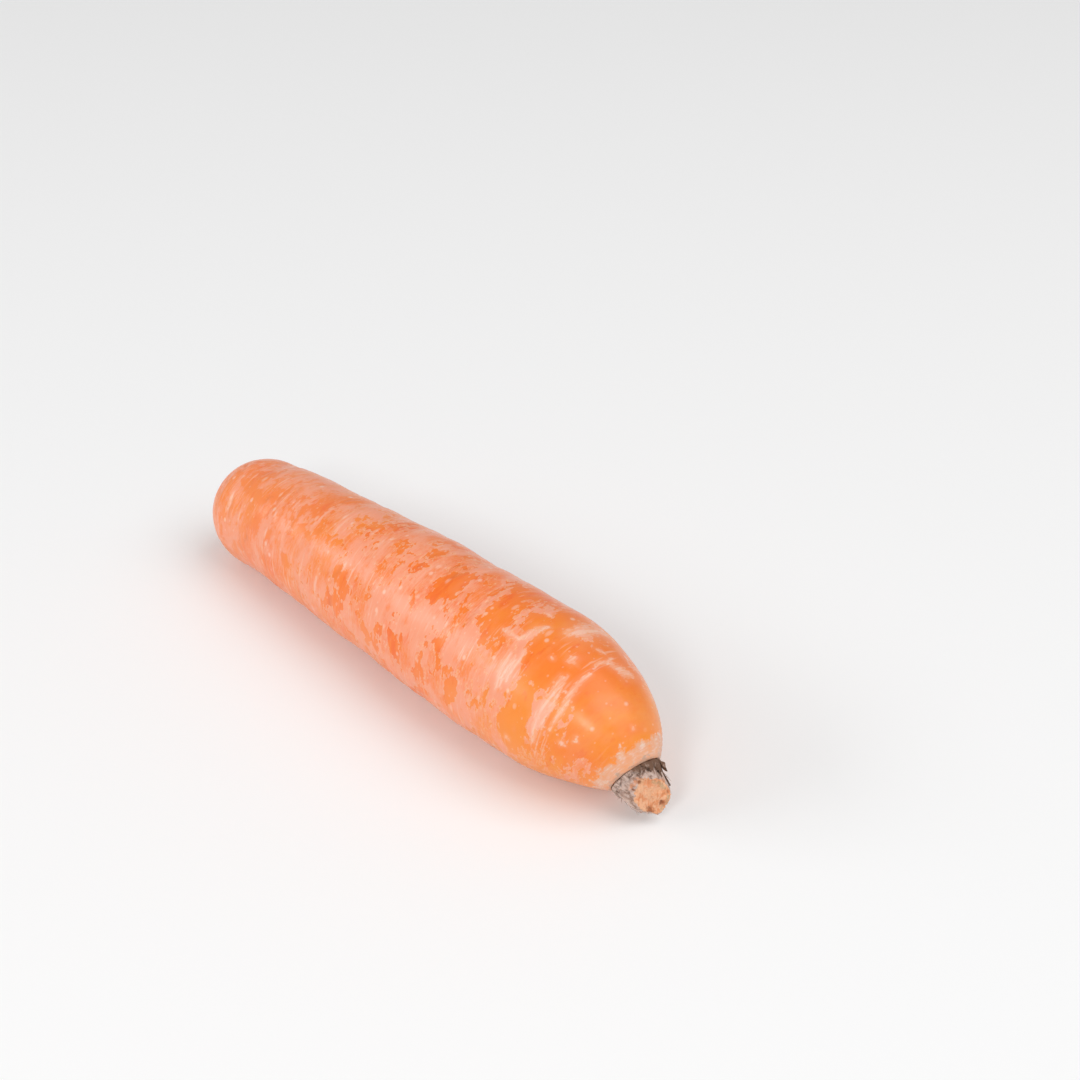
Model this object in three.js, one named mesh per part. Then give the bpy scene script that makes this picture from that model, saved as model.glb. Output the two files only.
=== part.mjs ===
// A blunt, slightly crooked carrot lying on its side, with the dried stub of its cut leaf stalks.
// Millimetres, +Z up, +X from the tip to the crown. The origin is the bottom centre of the whole.
import * as THREE from 'three';
import { mergeVertices } from 'three/addons/utils/BufferGeometryUtils.js';

// Driving dimensions of the root
const rootLength = 159; // along its middle line, from the tip to the rim of the collar
const shoulderDiameter = 38; // the thickest place
const shoulderStart = 124; // distance from the tip to the thickest place
const tipDiameter = 29.4; // where the blunt tip ends and the body starts
const tipLength = 14; // the rounded end
const taperEase = 1.3; // above 1, the body widens slowly at first
const collarDiameter = 13.6; // the rim that the leaf stalks grew from
const rimRounding = 0.5; // how far the rim's lip is rounded over
const pitDiameter = 12; // the shallow seat inside the rim
const pitDepth = 1.6;
const ovality = 0.012; // share by which the section is wider one way than the other

// How crooked the middle line is
const tipDip = 5.5; // the tip hangs this far below the line of the body
const tipSwing = 1.2; // and this far to the +Y side
const tipCurveEnd = 90; // distance from the tip over which that happens
const crownDip = 7; // the crown is bent down by this much at the rim
const crownSwing = 1.2; // and this far to the -Y side
const crownCurveStart = 123; // distance from the tip where that bend starts
const crownCurveEase = 3;

// Driving dimensions of the stub
const gap = 0.4; // clearance between the stub and the root
const stubHeight = 6; // above the rim, at the middle of the cut
const stubDiameter = 10; // at the cut
const sheathDiameter = 12.8; // the dried ring just above the rim
const sheathHeight = 1.4;
const cutSlope = 0.8; // the knife went through at a slant
const cutLongSide = THREE.MathUtils.degToRad(-50); // the longer side, measured from +Y towards +Z
const stalkCount = 8; // flattened bases of the leaf stalks round the stub
const stalkRidge = 0.45; // how far each base stands out
const stalkTwist = 0.25; // radians that the bases turn for each millimetre of height
const fibreRelief = 0.12;
const fibreCount = 17;
const raggedEdge = 0.28; // unevenness of the cut round its edge

// Relief of the skin
const furrowCount = 34; // shallow furrows that run part of the way round
const furrowDepthRange = [0.18, 0.45];
const furrowWidthRange = [1.3, 2]; // half widths
const furrowSpanRange = [0.25, 1]; // half spans, in radians
const furrowSlant = 1.2; // how far along a furrow may wander on its way round
const shortSwell = 0.16; // heights of the slow swellings along the body
const longSwell = 0.16;
const sideDent = 0.2;

// How deep the underside is pressed flat where the carrot rests
const restFlat = 0.35;

// Mesh fineness
const sectors = 56;
const skinRings = 76;
const stubSectors = 40;

// The same draws each time, for what grew by chance
function seededRandom(seed) {
  let state = seed;
  return () => {
    state = (state * 1664525 + 1013904223) % 4294967296;
    return state / 4294967296;
  };
}

function angleBetween(a, b) {
  return Math.atan2(Math.sin(a - b), Math.cos(a - b));
}

// Outline of the root, as a radius for each distance from the tip
function rootRadius(along) {
  const tipRadius = tipDiameter / 2;
  const shoulderRadius = shoulderDiameter / 2;
  if (along < tipLength) {
    const towardsTip = 1 - along / tipLength;
    return tipRadius * Math.sqrt(1 - towardsTip ** 2);
  }
  if (along < shoulderStart) {
    const share = (along - tipLength) / (shoulderStart - tipLength);
    return tipRadius + (shoulderRadius - tipRadius) * Math.sin((share * Math.PI) / 2) ** taperEase;
  }
  // The shoulder is a quarter of an ellipse that is cut off at the rim of the collar
  const cutOff = Math.sqrt(1 - (collarDiameter / shoulderDiameter) ** 2);
  const reach = ((along - shoulderStart) / (rootLength - shoulderStart)) * cutOff;
  return shoulderRadius * Math.sqrt(1 - reach ** 2);
}

// Middle line, first inside the root and then straight on through the stub
function middleLine(along) {
  const inside = Math.min(along, rootLength);
  const tipShare = Math.max(0, 1 - inside / tipCurveEnd) ** 2;
  const crownRun = Math.max(0, inside - crownCurveStart) / (rootLength - crownCurveStart);
  const crownShare = crownRun ** crownCurveEase;
  const point = new THREE.Vector3(
    inside,
    tipSwing * tipShare - crownSwing * crownShare,
    -tipDip * tipShare - crownDip * crownShare,
  );
  return point.addScaledVector(heading(inside), along - inside);
}

function heading(along) {
  const inside = Math.min(along, rootLength);
  const tipRate = (-2 * Math.max(0, 1 - inside / tipCurveEnd)) / tipCurveEnd;
  const crownSpan = rootLength - crownCurveStart;
  const crownRun = Math.max(0, inside - crownCurveStart) / crownSpan;
  const crownRate = (crownCurveEase * crownRun ** (crownCurveEase - 1)) / crownSpan;
  return new THREE.Vector3(
    1,
    tipSwing * tipRate - crownSwing * crownRate,
    -tipDip * tipRate - crownDip * crownRate,
  ).normalize();
}

// A point at a distance along the middle line, a radius from it and an angle round it from +Y
function placeOnLine(along, radius, angle) {
  const forward = heading(along);
  const side = new THREE.Vector3(0, 0, 1).cross(forward).normalize();
  const lift = forward.clone().cross(side);
  return middleLine(along)
    .addScaledVector(side, radius * Math.cos(angle))
    .addScaledVector(lift, radius * Math.sin(angle));
}

// Shallow furrows that run part of the way round, crowded on the body and rare on the shoulder
function makeFurrows() {
  const random = seededRandom(41);
  const between = (low, high) => low + (high - low) * random();
  const list = [];
  for (let i = 0; i < furrowCount; i += 1) {
    list.push({
      along: THREE.MathUtils.lerp(tipLength, shoulderStart + 8, (i + random()) / furrowCount),
      angle: between(0, 2 * Math.PI),
      halfSpan: between(...furrowSpanRange),
      depth: between(...furrowDepthRange),
      halfWidth: between(...furrowWidthRange),
      slant: between(-furrowSlant, furrowSlant),
    });
  }
  return list;
}
const furrows = makeFurrows();

function furrowDepth(along, angle) {
  let depth = 0;
  for (const furrow of furrows) {
    const round = angleBetween(angle, furrow.angle) / furrow.halfSpan;
    const across = (along - furrow.along - furrow.slant * round) / furrow.halfWidth;
    if (Math.abs(round) < 1 && Math.abs(across) < 2.5) {
      depth += furrow.depth * (1 - round ** 2) * Math.exp(-(across ** 2));
    }
  }
  return depth;
}

// Slow swellings along the body, where the soil was looser or firmer
function swelling(along, angle) {
  const short = shortSwell * Math.sin(along / 4.1 + 1.2 * Math.sin(angle + 0.4));
  const long = longSwell * Math.sin(along / 7.3 + 1.6 * Math.cos(angle - 1.1) + 2);
  const dent = sideDent * Math.sin(3 * angle + along / 31);
  return short + long + dent;
}

function rootRelief(along, angle, radius) {
  const awayFromTip = THREE.MathUtils.smoothstep(along, 1, 16);
  const awayFromCrown = 1 - THREE.MathUtils.smoothstep(along, shoulderStart - 2, rootLength - 8);
  const oval = radius * ovality * Math.cos(2 * (angle - 0.6));
  return awayFromTip * awayFromCrown * (swelling(along, angle) + oval - furrowDepth(along, angle));
}

// The bases of the leaf stalks stand out as ridges round the stub and end at uneven heights
function stubRelief(along, angle) {
  const height = along - rootLength;
  const onSide = THREE.MathUtils.smoothstep(height, 0.2, 2.2);
  const ridge = Math.abs(Math.cos((stalkCount * angle) / 2 + stalkTwist * height));
  const fibre = fibreRelief * Math.sin(fibreCount * angle + 3 * Math.sin(height));
  return onSide * (stalkRidge * (ridge - 0.6) + fibre);
}

function cutShift(along, radius, angle) {
  const height = along - rootLength;
  const share = Math.max(0, height - sheathHeight) / (stubHeight - sheathHeight);
  const slant = cutSlope * radius * Math.cos(angle - cutLongSide);
  const ragged = raggedEdge * Math.sin(5 * angle + 1) * (radius / (stubDiameter / 2));
  return share * (slant + ragged);
}

// Turns an outline round the middle line into one closed mesh
function turnRound(outline, sectorCount, shapeVertex) {
  const lathe = new THREE.LatheGeometry(outline, sectorCount);
  lathe.deleteAttribute('normal');
  lathe.deleteAttribute('uv');
  const geometry = mergeVertices(lathe, 0.001);
  const position = geometry.getAttribute('position');
  for (let i = 0; i < position.count; i += 1) {
    const radius = Math.hypot(position.getX(i), position.getZ(i));
    const angle = Math.atan2(position.getX(i), position.getZ(i));
    const point = shapeVertex(position.getY(i), radius, angle);
    position.setXYZ(i, point.x, point.y, point.z);
  }
  geometry.computeVertexNormals();
  return geometry;
}

function makeRootGeometry() {
  const fineSteps = 400;
  const finePoints = [];
  for (let i = 0; i <= fineSteps; i += 1) {
    // Close steps at both ends, where the outline turns fastest
    const along = (rootLength / 2) * (1 - Math.cos((Math.PI * i) / fineSteps));
    finePoints.push(new THREE.Vector2(rootRadius(along), along));
  }
  const outline = new THREE.SplineCurve(finePoints).getSpacedPoints(skinRings);
  const pitRadius = pitDiameter / 2;
  const pitFloor = rootLength - pitDepth;
  outline[0].set(0, 0);
  outline.push(new THREE.Vector2(collarDiameter / 2 - rimRounding, rootLength - rimRounding / 5));
  outline.push(new THREE.Vector2(pitRadius, pitFloor + rimRounding / 2));
  outline.push(new THREE.Vector2(pitRadius / 2, pitFloor));
  outline.push(new THREE.Vector2(0, pitFloor));
  return turnRound(outline, sectors, (along, radius, angle) => {
    const onSkin = radius > collarDiameter / 2;
    const relief = onSkin ? rootRelief(along, angle, radius) : 0;
    return placeOnLine(along, radius + relief, angle);
  });
}

function makeStubGeometry() {
  const seatRadius = pitDiameter / 2 - gap;
  const seatFloor = rootLength - pitDepth + gap;
  const sheathRadius = sheathDiameter / 2;
  const cutRadius = stubDiameter / 2;
  const cutHeight = rootLength + stubHeight;
  const side = new THREE.SplineCurve([
    new THREE.Vector2(seatRadius, rootLength),
    new THREE.Vector2(sheathRadius, rootLength + sheathHeight / 2),
    new THREE.Vector2(sheathRadius - 0.4, rootLength + sheathHeight),
    new THREE.Vector2(cutRadius + 0.5, rootLength + stubHeight * 0.45),
    new THREE.Vector2(cutRadius + 0.1, rootLength + stubHeight * 0.85),
    new THREE.Vector2(cutRadius - 0.4, cutHeight),
  ]).getPoints(18);
  // The cut is slightly domed, with a small hollow at its middle
  const outline = [
    new THREE.Vector2(0, seatFloor),
    new THREE.Vector2(seatRadius / 2, seatFloor),
    new THREE.Vector2(seatRadius - 0.2, seatFloor + 0.1),
    ...side,
    new THREE.Vector2(cutRadius * 0.65, cutHeight + 0.25),
    new THREE.Vector2(cutRadius * 0.3, cutHeight + 0.1),
    new THREE.Vector2(0, cutHeight - 0.1),
  ];
  return turnRound(outline, stubSectors, (along, radius, angle) => {
    const edge = THREE.MathUtils.smoothstep(radius, cutRadius * 0.3, cutRadius * 0.9);
    const outRadius = radius + edge * stubRelief(along, angle);
    return placeOnLine(along + cutShift(along, radius, angle), outRadius, angle);
  });
}

// Lowers both pieces until the root's underside is pressed in by the rest flat, and levels it there
function settle(root, stub) {
  root.computeBoundingBox();
  const drop = -restFlat - root.boundingBox.min.z;
  root.translate(0, 0, drop);
  stub.translate(0, 0, drop);
  const position = root.getAttribute('position');
  for (let i = 0; i < position.count; i += 1) {
    position.setZ(i, Math.max(0, position.getZ(i)));
  }
  root.computeBoundingBox();
  root.computeVertexNormals();
}

function makeMesh(name, geometry, material) {
  const mesh = new THREE.Mesh(geometry, material);
  mesh.name = name;
  return mesh;
}

const skin = new THREE.MeshStandardMaterial({ color: '#f4874a', roughness: 0.5, metalness: 0 });
const driedStalk = new THREE.MeshStandardMaterial({ color: '#9a7d5c', roughness: 0.9, metalness: 0 });

const rootGeometry = makeRootGeometry();
const stubGeometry = makeStubGeometry();
settle(rootGeometry, stubGeometry);

const carrot = new THREE.Group();
carrot.add(makeMesh('root', rootGeometry, skin));
carrot.add(makeMesh('stalk_stub', stubGeometry, driedStalk));

// The origin goes to the bottom centre of the box round the whole
const box = new THREE.Box3().setFromObject(carrot);
const middle = box.getCenter(new THREE.Vector3());
carrot.position.set(-middle.x, -middle.y, -box.min.z);

export default carrot;
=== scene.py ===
# %% [markdown]
# # A carrot on a pale table
#
# A carrot looks simple, and a smooth orange cone is what a hurried model gives. The real one has a
# waxy orange skin that shows only here and there, because a thin dry film has formed on it in
# ragged pink patches. It has fine creases that run round it, pale scars where thin roots broke off,
# a greyish scurf round the collar, and the dried stub of the cut leaf stalks.
#
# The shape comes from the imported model. This script measures that shape, makes it finer, adds the
# small relief, and paints it. Sizes are in millimetres where a name says so, and else in metres,
# Blender's own unit.

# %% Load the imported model
import math
import random

import bmesh
import bpy
import numpy as np
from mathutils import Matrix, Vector, noise
from mathutils.bvhtree import BVHTree


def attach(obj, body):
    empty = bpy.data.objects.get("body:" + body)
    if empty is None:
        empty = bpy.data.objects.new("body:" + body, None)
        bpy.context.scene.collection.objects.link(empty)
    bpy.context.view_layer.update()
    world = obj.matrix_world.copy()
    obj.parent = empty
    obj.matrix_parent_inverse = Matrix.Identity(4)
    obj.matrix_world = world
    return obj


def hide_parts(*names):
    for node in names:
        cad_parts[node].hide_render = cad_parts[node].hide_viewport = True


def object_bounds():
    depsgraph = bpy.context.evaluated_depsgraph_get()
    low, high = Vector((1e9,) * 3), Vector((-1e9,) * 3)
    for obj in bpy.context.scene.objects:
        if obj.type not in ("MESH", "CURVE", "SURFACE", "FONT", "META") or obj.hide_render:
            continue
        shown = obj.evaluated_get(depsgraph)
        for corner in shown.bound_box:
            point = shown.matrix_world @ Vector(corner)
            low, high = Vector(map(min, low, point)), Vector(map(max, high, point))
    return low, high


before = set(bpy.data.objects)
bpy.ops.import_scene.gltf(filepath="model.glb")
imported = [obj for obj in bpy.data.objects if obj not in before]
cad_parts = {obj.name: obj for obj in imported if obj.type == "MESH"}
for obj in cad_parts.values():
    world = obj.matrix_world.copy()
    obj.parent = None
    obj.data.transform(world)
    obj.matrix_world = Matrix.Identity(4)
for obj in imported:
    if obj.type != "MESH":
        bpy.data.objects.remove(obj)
cad_low, cad_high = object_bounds()

MM = 0.001
cad_size_mm = [round((high - low) / MM, 1) for low, high in zip(cad_low, cad_high)]
print("packed model, mm:", cad_size_mm)

# %% [markdown]
# ## The camera
#
# The picture looks down on the carrot by about a third of a right angle and sees its crown end
# first. A camera can be placed by hand, or from the angles that an outline gives when a solid of
# known size is fitted to it. The second way is used, so the model lands where the real carrot does.
# The carrot isn't in the middle of the frame, and turning the camera would change the view of it,
# so the camera is moved sideways and up instead, with its direction kept.

# %% Place the camera
view_azimuth = 47.9
view_elevation = 33.0
view_distance = 0.600
lens_mm = 79.9
sensor_mm = 36
aim_height = 0.019
aside = 0.0277
above = 0.0172


def direction(azimuth, elevation):
    """The way out from the carrot at an azimuth and an elevation, in degrees."""
    turn, rise = math.radians(azimuth), math.radians(elevation)
    level = math.cos(rise)
    return Vector((math.sin(turn) * level, -math.cos(turn) * level, math.sin(rise)))


def add_object(name, data):
    new = bpy.data.objects.new(name, data)
    bpy.context.scene.collection.objects.link(new)
    return new


def look_back(thing, away):
    """Turns a camera or a lamp to look against the direction that it stands in."""
    thing.rotation_mode = "QUATERNION"
    thing.rotation_quaternion = (-away).to_track_quat("-Z", "Y")


toward_camera = direction(view_azimuth, view_elevation)
camera_right = direction(view_azimuth + 90, 0)
camera_up = toward_camera.cross(camera_right)


def make_camera():
    data = bpy.data.cameras.new("camera")
    data.lens = lens_mm
    data.sensor_width = sensor_mm
    data.clip_start = 0.01
    camera = add_object("camera", data)
    aim = Vector((0, 0, aim_height)) + camera_right * aside + camera_up * above
    camera.location = aim + toward_camera * view_distance
    look_back(camera, toward_camera)
    bpy.context.scene.camera = camera
    return camera


camera = make_camera()
print("camera at", [round(c, 3) for c in camera.location])

# %% [markdown]
# ## Reading the root ring by ring
#
# The marks on a carrot run round it, so each point needs to know how far along the root it is and
# where it is round it. A bent root has no straight axis to measure from, but its mesh was turned
# before it was bent, so it is a stack of rings between two poles. Walking from one pole, an edge at
# a time, reaches the rings in order, and the middle of each is a point of the root's middle line.

# %% Walk over the rings of a turned mesh
weld_distance = 0.01 * MM
pole_share = 0.8  # a pole meets nearly as many edges as the busiest vertex, any other meets few


def weld(node_name):
    """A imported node's mesh with the corners of neighbouring triangles merged, and with room for
    the places that the next cells work out."""
    mesh = bmesh.new()
    mesh.from_mesh(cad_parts[node_name].data)
    bmesh.ops.remove_doubles(mesh, verts=mesh.verts, dist=weld_distance)
    mesh.verts.layers.float_vector.new("place")
    mesh.verts.layers.float.new("past_edge")
    return mesh


def walk_rings(mesh):
    """Lists of vertices from the pole with the lowest x to the other pole."""
    most = max(len(vert.link_edges) for vert in mesh.verts)
    poles = [vert for vert in mesh.verts if len(vert.link_edges) > pole_share * most]
    ring = [min(poles, key=lambda vert: vert.co.x)]
    seen = set(ring)
    rings = []
    while ring:
        rings.append(ring)
        outer = []
        for vert in ring:
            for edge in vert.link_edges:
                other = edge.other_vert(vert)
                if other not in seen:
                    seen.add(other)
                    outer.append(other)
        ring = outer
    return rings


root_mesh = weld("root")
root_rings = walk_rings(root_mesh)
print("root rings:", len(root_rings), "with", len(root_rings[20]), "points each")

# %% [markdown]
# ## A straight map of a bent root
#
# Each vertex gets a place on an imaginary straight carrot: how far the surface has travelled from
# the tip, and its two offsets from the middle line, one sideways and one upwards. Patterns drawn on
# that straight carrot follow the bends of the real one. The rim of the collar is the ring that lies
# furthest along, so the distance to it is known as well.

# %% Give each vertex its place on the straight carrot
UP = Vector((0, 0, 1))


def middle_of(ring):
    return sum((vert.co for vert in ring), Vector()) / len(ring)


def radius_of(ring):
    middle = middle_of(ring)
    return sum((vert.co - middle).length for vert in ring) / len(ring)


def side_and_lift(forward):
    side = UP.cross(forward).normalized()
    return side, forward.cross(side)


def map_root(mesh, rings):
    """Stores each vertex's straight place, in mm, and returns the rim's middle, axis and travel."""
    middles = [middle_of(ring) for ring in rings]
    rim = max(range(len(rings)), key=lambda i: middles[i].x)
    place = mesh.verts.layers.float_vector["place"]
    travel = 0.0
    radius_before = 0.0
    rim_travel = 0.0
    for i, ring in enumerate(rings):
        near, far = min(max(i, 1), rim) - 1, min(i + 1, rim)
        forward = (middles[far] - middles[near]).normalized()
        side, lift = side_and_lift(forward)
        radius = radius_of(ring)
        if i > 0:
            step = (middles[i] - middles[i - 1]).length
            travel += math.hypot(step, radius - radius_before)
        if i == rim:
            rim_travel = travel
            rim_axis = forward
        radius_before = radius
        for vert in ring:
            offset = vert.co - middles[i]
            vert[place] = Vector((travel, offset.dot(side), offset.dot(lift))) / MM
    return middles[rim], rim_axis, rim_travel / MM


rim_middle, rim_axis, rim_travel_mm = map_root(root_mesh, root_rings)
print("from tip to rim over the skin, mm:", round(rim_travel_mm, 1))

# %% [markdown]
# ## A finer skin
#
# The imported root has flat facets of 2 mm. Catmull-Clark subdivision rounds a mesh of four-sided
# faces evenly, but leaves dimples and stars on one of triangles, so the triangles are first paired
# back into the quads that they were cut from. The stored places are carried along to the new
# vertices.

# %% Pair the triangles and subdivide
most_fold = math.radians(60)
most_skew = math.radians(50)


def shade_smooth(mesh):
    for face in mesh.polygons:
        face.use_smooth = True


def make_fine_object(name, mesh, levels):
    """A new object from a bmesh, paired into quads and subdivided."""
    bmesh.ops.join_triangles(
        mesh,
        faces=mesh.faces[:],
        angle_face_threshold=most_fold,
        angle_shape_threshold=most_skew,
    )
    bmesh.ops.recalc_face_normals(mesh, faces=mesh.faces[:])
    coarse = bpy.data.meshes.new(name + "_coarse")
    mesh.to_mesh(coarse)
    mesh.free()
    piece = add_object(name, coarse)
    modifier = piece.modifiers.new("rounder", "SUBSURF")
    modifier.levels = levels
    modifier.render_levels = levels
    bpy.context.view_layer.update()
    evaluated = piece.evaluated_get(bpy.context.evaluated_depsgraph_get())
    fine = bpy.data.meshes.new_from_object(evaluated)
    fine.name = name
    piece.modifiers.clear()
    piece.data = fine
    bpy.data.meshes.remove(coarse)
    shade_smooth(fine)
    return piece


skin = make_fine_object("carrot_skin", root_mesh, 2)
print("skin faces:", len(skin.data.polygons))

# %% [markdown]
# ## Moving many vertices at once
#
# The relief below moves each of some seventy thousand vertices along its normal. A loop in Python
# would be slow, so positions, normals and places are read into arrays and summed as such.

# %% Read and write vertex arrays


def read_array(rows, key, width):
    flat = np.empty(len(rows) * width, dtype=np.float32)
    rows.foreach_get(key, flat)
    return flat.reshape(-1, width).astype(float)


def read_vectors(mesh, attribute):
    return read_array(mesh.attributes[attribute].data, "vector", 3)


def read_normals(mesh):
    return read_array(mesh.vertices, "normal", 3)


def write_points(mesh, points):
    mesh.attributes["position"].data.foreach_set("vector", points.astype(np.float32).ravel())
    mesh.update()


def move_along_normals(piece, heights_mm, floor=None):
    """Raises each vertex by its height, and keeps all of them on or above the floor."""
    mesh = piece.data
    moved = read_vectors(mesh, "position") + read_normals(mesh) * heights_mm[:, None] * MM
    if floor is not None:
        moved[:, 2] = np.maximum(moved[:, 2], floor)
    write_points(mesh, moved)


def store_number(piece, name, values):
    layer = piece.data.attributes.new(name, "FLOAT", "POINT")
    layer.data.foreach_set("value", values.astype(np.float32))


def smooth_step(values, low, high):
    share = np.clip((values - low) / (high - low), 0, 1)
    return share * share * (3 - 2 * share)


def bell(values):
    """One at nothing, and soon nothing beyond one on either side."""
    return np.exp(-(values**2))


place = read_vectors(skin.data, "place")
along = place[:, 0]
around = np.arctan2(place[:, 2], place[:, 1])
out_from_line = np.hypot(place[:, 1], place[:, 2])
to_rim = rim_travel_mm - along
store_number(skin, "to_rim", to_rim)
print("skin vertices:", len(along))

# %% [markdown]
# ## Creases
#
# A carrot swells as it grows and its skin wrinkles across, so the creases are short arcs round the
# root, thin and sharp, with a soft lip on either side. Each is a narrow valley whose depth falls to
# nothing at its ends. They are drawn by a seeded rule, crowded towards the tip and rare on the
# smooth shoulder. The same values later darken the creases as painted shade, so they are stored.

# %% Draw the creases
crease_count = 150
crease_depth_mm = (0.04, 0.18)
crease_half_width_mm = (0.35, 0.7)
crease_half_span = (0.08, 0.55)
crease_start_mm = 6
crease_crowding = 1.25  # above 1, more of them lie near the tip
crease_wander_mm = 1.1
crease_wave_mm = 0.35
smooth_shoulder_mm = 40


def turn_to(angles, centre):
    """Angles measured from a centre, between minus and plus half a turn."""
    return np.arctan2(np.sin(angles - centre), np.cos(angles - centre))


def draw_creases(rng):
    valley = np.zeros(len(along))
    lips = np.zeros(len(along))
    for _ in range(crease_count):
        centre_along = crease_start_mm + marked_length_mm * rng.random() ** crease_crowding
        centre_around = rng.uniform(-math.pi, math.pi)
        half_span = rng.uniform(*crease_half_span)
        half_width = rng.uniform(*crease_half_width_mm)
        depth = rng.uniform(*crease_depth_mm)
        slant = rng.uniform(-crease_wander_mm, crease_wander_mm)
        wave = rng.uniform(0, 6)
        share = turn_to(around, centre_around) / half_span
        path = centre_along + slant * share + crease_wave_mm * np.sin(5 * share + wave)
        across = (along - path) / half_width
        near = (np.abs(share) < 1) & (np.abs(across) < 4)
        fade = (1 - share[near] ** 2) ** 0.7
        valley[near] += depth * fade * np.exp(-np.abs(across[near]) ** 1.5)
        lips[near] += 0.35 * depth * fade * bell(np.abs(across[near]) - 2)
    return valley, lips


marked_length_mm = rim_travel_mm - smooth_shoulder_mm
crease_valley, crease_lips = draw_creases(random.Random(7))
store_number(skin, "crease", np.clip(crease_valley / crease_depth_mm[1], 0, 1))
print("deepest crease, mm:", round(float(crease_valley.max()), 2))

# %% [markdown]
# ## Scars of thin roots
#
# Where a thin side root broke off, a small lens-shaped scar stays, wider round the root than along
# it, with a raised pale edge and a slit. A few dozen of them are enough: they sit in loose lines
# along the root, because side roots grow in rows.

# %% Raise the scars
scar_rows = 4
scars_in_row = 13
scar_start_mm = 12
scar_half_width_mm = (1.0, 2.4)
scar_half_height_mm = (0.45, 0.75)
scar_rise_mm = 0.16
scar_slit_share = 1.3


def draw_scars(rng):
    rise = np.zeros(len(along))
    mark = np.zeros(len(along))
    for row in range(scar_rows):
        row_angle = 2 * math.pi * row / scar_rows + rng.uniform(-0.3, 0.3)
        for i in range(scars_in_row):
            centre_along = scar_start_mm + marked_length_mm * (i + rng.random()) / scars_in_row
            centre_around = row_angle + rng.gauss(0, 0.28)
            half_width = rng.uniform(*scar_half_width_mm)
            half_height = rng.uniform(*scar_half_height_mm)
            round_mm = turn_to(around, centre_around) * out_from_line
            bow = 0.12 * round_mm**2 / half_width
            reach = np.hypot(round_mm / half_width, (along - centre_along - bow) / half_height)
            rise += scar_rise_mm * (bell(reach) - scar_slit_share * bell(2.6 * reach))
            mark = np.maximum(mark, bell(reach))
    return rise, mark


scar_rise, scar_mark = draw_scars(random.Random(11))
store_number(skin, "scar", scar_mark)
print("scars:", scar_rows * scars_in_row)

# %% [markdown]
# ## Marks that this carrot is known by
#
# Noise can give most of the film's pattern, but this carrot is known by a few marks: long pale
# streaks that run across the shoulder, gaps in the dry film beside them, places where the film lies
# thick, and single specks. Painting them on an image would tie them to one view and one sharpness.
# Each is written instead as the two pixels of the picture that it runs between, and its half width
# in mm.

# %% List the marks
pale_marks = {
    "upper streak": ((494, 688), (511, 651), 0.7),
    "upper streak, second line": ((500, 687), (516, 656), 0.4),
    "upper streak twin": ((507, 682), (526, 649), 0.55),
    "middle streak": ((532, 741), (562, 678), 0.9),
    "middle streak, second line": ((541, 729), (568, 676), 0.4),
    "lower streak": ((549, 731), (590, 674), 0.6),
    "thin streak": ((593, 669), (613, 659), 0.5),
    "branch": ((503, 629), (519, 640), 0.6),
    "branch end": ((519, 640), (548, 628), 0.9),
    "notch": ((547, 614), (552, 617), 0.5),
    "patch by the streaks": ((569, 663), (574, 657), 0.8),
    "upper speck": ((550, 657), (553, 659), 0.6),
    "bright speck": ((598, 650), (603, 652), 0.6),
    "speck between streaks": ((564, 691), (567, 692), 0.6),
    "speck near the collar": ((632, 728), (634, 730), 0.4),
    "low speck": ((506, 736), (508, 739), 0.6),
    "left foot of a streak": ((558, 741), (564, 746), 0.5),
    "right foot of a streak": ((573, 742), (579, 737), 0.4),
    "band by the upper edge": ((568, 633), (606, 634), 1.6),
    "band near the rim": ((612, 668), (632, 676), 1.2),
}
clear_gaps = {
    "large upper gap": ((481, 634), (508, 602), 3.0),
    "gap at the notch": ((528, 626), (544, 616), 2.0),
    "gap under the edge": ((508, 600), (532, 591), 1.6),
    "gap below the band": ((547, 640), (570, 622), 2.4),
    "edge gap": ((560, 618), (590, 617), 1.8),
    "gap over the streaks": ((540, 670), (577, 645), 3.2),
    "gap at the crown": ((600, 735), (645, 695), 8.0),
    "gap before the streaks": ((510, 748), (526, 694), 2.6),
    "small left gap": ((446, 702), (454, 683), 1.6),
    "far upper gap": ((437, 596), (468, 578), 2.6),
    "long middle gap": ((389, 630), (398, 661), 1.3),
    "gap left of it": ((357, 612), (368, 638), 1.2),
    "left gap": ((343, 576), (344, 598), 1.2),
    "far left gap": ((283, 554), (287, 563), 1.1),
    "gaps at the tip": ((243, 480), (262, 500), 1.4),
}
film_patches = {
    "on the left third": ((288, 546), (306, 556), 3.6),
    "upper middle": ((378, 598), (404, 622), 4.6),
    "middle": ((412, 642), (428, 622), 4.6),
    "before the shoulder": ((452, 654), (470, 636), 4.0),
    "under the upper streaks": ((497, 690), (517, 645), 3.2),
    "foot of the middle streak": ((527, 740), (546, 704), 1.8),
}
print("marks:", len(pale_marks), "pale,", len(clear_gaps), "gaps,", len(film_patches), "patches")

# %% [markdown]
# ## From a pixel to the skin
#
# A ray goes from the camera through a pixel, and the nearest vertex on the near side knows its place
# on the straight carrot. From there on the mark belongs to the carrot and not to the view. A plain
# line between the two places would look drawn, so it wanders a little and is thinner at its ends.
# Each vertex then learns how far it is from the nearest mark of each kind.

# %% Find places by pixel
picture_width = 1080
focal_pixels = lens_mm / sensor_mm * picture_width
mark_wander_mm = 0.25
no_mark = 4.0  # half widths, further than any mark is looked at
behind = 1.0  # metres, so a vertex on the far side is never the nearest


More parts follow.
